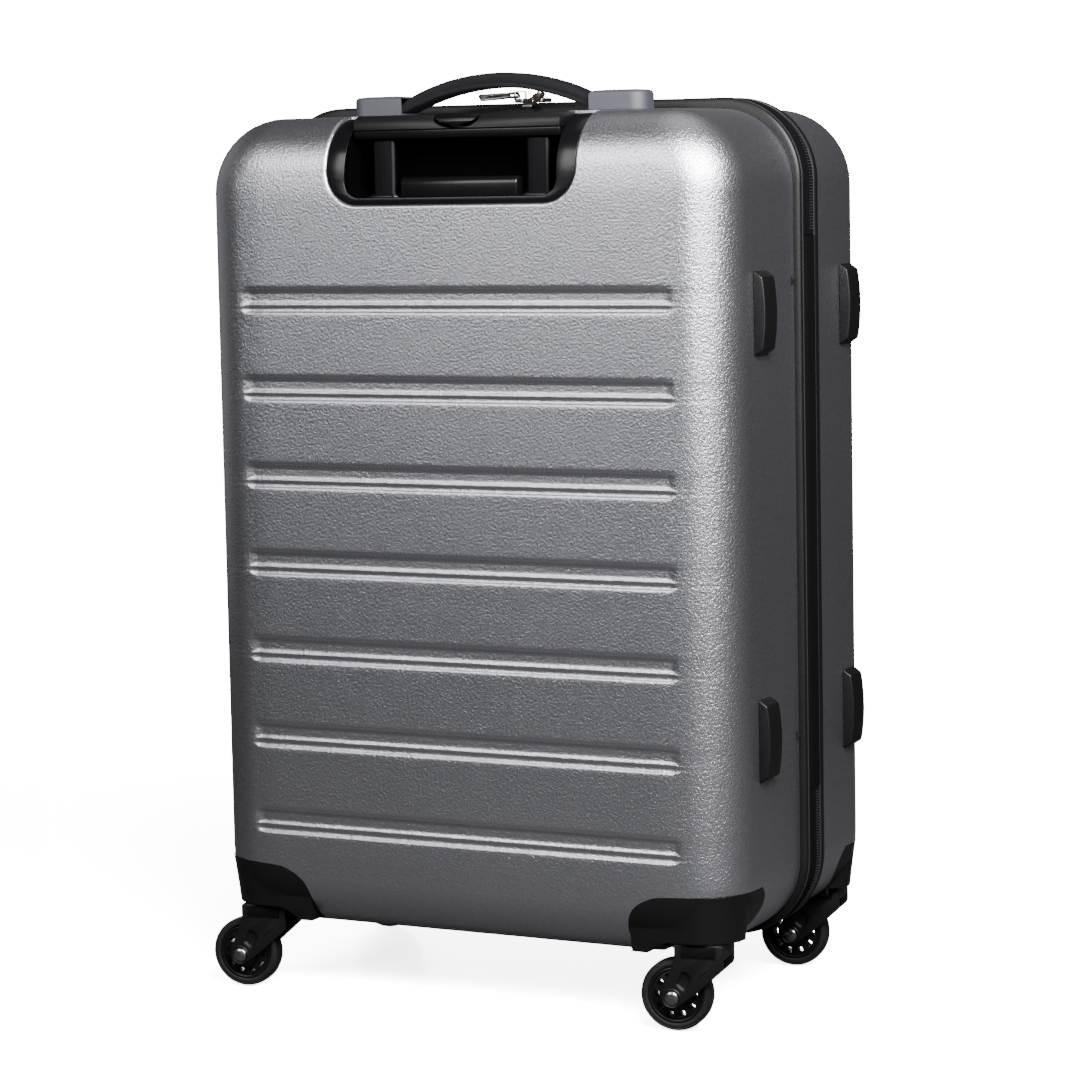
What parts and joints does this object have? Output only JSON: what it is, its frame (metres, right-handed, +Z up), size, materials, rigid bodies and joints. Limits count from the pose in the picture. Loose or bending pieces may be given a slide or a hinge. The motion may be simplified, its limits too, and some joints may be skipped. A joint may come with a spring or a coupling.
{
  "type": "hard shell suitcase",
  "caption": "Upright hard-shell suitcase with ribbed shells, zip closure, swivel casters, telescopic pull handle and padded carry handles; opens like a book.",
  "frame": {"origin": "centre of the bounding box's footprint, on the floor under the wheels", "axes": "+Z up; -Y is the face with the pull handle, +Y the other broad face; +X the hinge side with its feet, -X the opening side with the side carry handle"},
  "size_m": [0.46, 0.268, 0.6778],
  "materials": {
    "shell_grey": "silver-grey moulded shell, satin with a pebbled grain",
    "black_plastic": "black moulded plastic, satin",
    "strap_fabric": "black woven webbing and zip tape",
    "lining_fabric": "dark grey polyester lining",
    "cap_grey": "slate-grey plastic with a fine speckled grain",
    "tube_aluminium": "satin anodised",
    "nickel_zip": "nickel-plated, slightly dull",
    "steel_pin": "polished rivet head",
    "tyre_rubber": "soft black tyre",
    "hub_plastic": "black moulded wheel hub"
  },
  "bodies": {
    "rear_case": {"rear_shell": "shell_grey", "rear_lining": "lining_fabric", "zip_band_rear": "strap_fabric", "trolley_tray": "black_plastic", "trolley_foot_bracket": "black_plastic", "outer_tube_left": "tube_aluminium", "outer_tube_right": "tube_aluminium", "top_handle_cap_left": "cap_grey", "top_handle_cap_right": "cap_grey", "side_handle_cap_lower": "cap_grey", "side_handle_cap_upper": "cap_grey", "side_foot_rear_upper": "black_plastic", "side_foot_rear_lower": "black_plastic", "caster_housing_rear_left": "black_plastic", "caster_housing_rear_right": "black_plastic", "cross_strap_left": "strap_fabric", "cross_strap_right": "strap_fabric", "strap_buckle": "black_plastic"},
    "hinge_strip": {"hinge_strip": "strap_fabric"},
    "front_case": {"front_shell": "shell_grey", "front_lining": "lining_fabric", "zip_band_front": "strap_fabric", "mesh_pocket": "lining_fabric", "side_foot_front_upper": "black_plastic", "side_foot_front_lower": "black_plastic", "caster_housing_front_left": "black_plastic", "caster_housing_front_right": "black_plastic"},
    "trolley_middle": {"middle_tube_left": "tube_aluminium", "middle_tube_right": "tube_aluminium"},
    "trolley_grip": {"inner_tube_left": "tube_aluminium", "inner_tube_right": "tube_aluminium", "grip_upper": "black_plastic", "grip_lower": "black_plastic"},
    "release": {"push_button": "black_plastic", "release_yoke": "black_plastic", "release_rod_left": "steel_pin", "release_rod_right": "steel_pin"},
    "top_strap": {"top_handle_strap": "strap_fabric"},
    "side_strap": {"side_handle_strap": "strap_fabric"},
    "zip_slider_left": {"zip_slider_left": "nickel_zip"},
    "zip_slider_right": {"zip_slider_right": "nickel_zip"},
    "zip_pull_left": {"zip_pull_left": "nickel_zip"},
    "zip_pull_right": {"zip_pull_right": "nickel_zip"},
    "caster_rear_left": {"caster_rear_left_fork": "black_plastic", "caster_rear_left_axle": "steel_pin"},
    "wheel_rear_left": {"caster_rear_left_tyre": "tyre_rubber", "caster_rear_left_hub": "hub_plastic"},
    "caster_rear_right": {"caster_rear_right_fork": "black_plastic", "caster_rear_right_axle": "steel_pin"},
    "wheel_rear_right": {"caster_rear_right_tyre": "tyre_rubber", "caster_rear_right_hub": "hub_plastic"},
    "caster_front_left": {"caster_front_left_fork": "black_plastic", "caster_front_left_axle": "steel_pin"},
    "wheel_front_left": {"caster_front_left_tyre": "tyre_rubber", "caster_front_left_hub": "hub_plastic"},
    "caster_front_right": {"caster_front_right_fork": "black_plastic", "caster_front_right_axle": "steel_pin"},
    "wheel_front_right": {"caster_front_right_tyre": "tyre_rubber", "caster_front_right_hub": "hub_plastic"}
  },
  "joints": [
    {"name": "case_hinge_rear", "type": "hinge", "parent": "rear_case", "child": "hinge_strip", "pos_m": [0.221, -0.01, 0.3575], "axis": [0, 0, -1], "range_deg": [0, 90]},
    {"name": "case_hinge_front", "type": "hinge", "parent": "hinge_strip", "child": "front_case", "pos_m": [0.221, 0.027, 0.3575], "axis": [0, 0, -1], "range_deg": [0, 90]},
    {"name": "trolley_lower_slide", "type": "slide", "parent": "rear_case", "child": "trolley_middle", "axis": [0, 0, 1], "range_m": [0, 0.2]},
    {"name": "trolley_upper_slide", "type": "slide", "parent": "trolley_middle", "child": "trolley_grip", "axis": [0, 0, 1], "range_m": [0, 0.2]},
    {"name": "release_press", "type": "slide", "parent": "trolley_grip", "child": "release", "axis": [0, 0, -1], "range_m": [0, 0.0025], "stiffness_N_per_m": 600, "springref_m": -0.003},
    {"name": "top_strap_lift", "type": "slide", "parent": "rear_case", "child": "top_strap", "axis": [0, 0, 1], "range_m": [0, 0.006]},
    {"name": "side_strap_pull", "type": "slide", "parent": "rear_case", "child": "side_strap", "axis": [-1, 0, 0], "range_m": [0, 0.006], "stiffness_N_per_m": 60},
    {"name": "zip_slider_left_run", "type": "slide", "parent": "rear_case", "child": "zip_slider_left", "axis": [-1, 0, 0], "range_m": [0, 0.12]},
    {"name": "zip_slider_right_run", "type": "slide", "parent": "rear_case", "child": "zip_slider_right", "axis": [1, 0, 0], "range_m": [0, 0.12]},
    {"name": "zip_pull_left_flip", "type": "hinge", "parent": "zip_slider_left", "child": "zip_pull_left", "pos_m": [-0.00592, 0.00839, 0.6628], "axis": [-0.6428, 0.766, 0], "range_deg": [0, 150]},
    {"name": "zip_pull_right_flip", "type": "hinge", "parent": "zip_slider_right", "child": "zip_pull_right", "pos_m": [0.01226, 0.00751, 0.6628], "axis": [-0.9945, -0.1045, 0], "range_deg": [0, 150]},
    {"name": "caster_rear_left_swivel", "type": "hinge", "parent": "rear_case", "child": "caster_rear_left", "pos_m": [-0.169, -0.108, 0.065], "axis": [0, 0, 1], "continuous": true},
    {"name": "wheel_rear_left_spin", "type": "hinge", "parent": "caster_rear_left", "child": "wheel_rear_left", "pos_m": [-0.18779, -0.11084, 0.026], "axis": [-0.1495, 0.9888, 0], "continuous": true},
    {"name": "caster_rear_right_swivel", "type": "hinge", "parent": "rear_case", "child": "caster_rear_right", "pos_m": [0.187, -0.108, 0.065], "axis": [0, 0, 1], "continuous": true},
    {"name": "wheel_rear_right_spin", "type": "hinge", "parent": "caster_rear_right", "child": "wheel_rear_right", "pos_m": [0.16821, -0.11084, 0.026], "axis": [-0.1495, 0.9888, 0], "continuous": true},
    {"name": "caster_front_left_swivel", "type": "hinge", "parent": "front_case", "child": "caster_front_left", "pos_m": [-0.169, 0.108, 0.065], "axis": [0, 0, 1], "continuous": true},
    {"name": "wheel_front_left_spin", "type": "hinge", "parent": "caster_front_left", "child": "wheel_front_left", "pos_m": [-0.18779, 0.10516, 0.026], "axis": [-0.1495, 0.9888, 0], "continuous": true},
    {"name": "caster_front_right_swivel", "type": "hinge", "parent": "front_case", "child": "caster_front_right", "pos_m": [0.187, 0.108, 0.065], "axis": [0, 0, 1], "continuous": true},
    {"name": "wheel_front_right_spin", "type": "hinge", "parent": "caster_front_right", "child": "wheel_front_right", "pos_m": [0.16821, 0.10516, 0.026], "axis": [-0.1495, 0.9888, 0], "continuous": true}
  ],
  "couplings": [
    {"joint": "case_hinge_front", "follows": "case_hinge_rear", "ratio": 1}
  ]
}
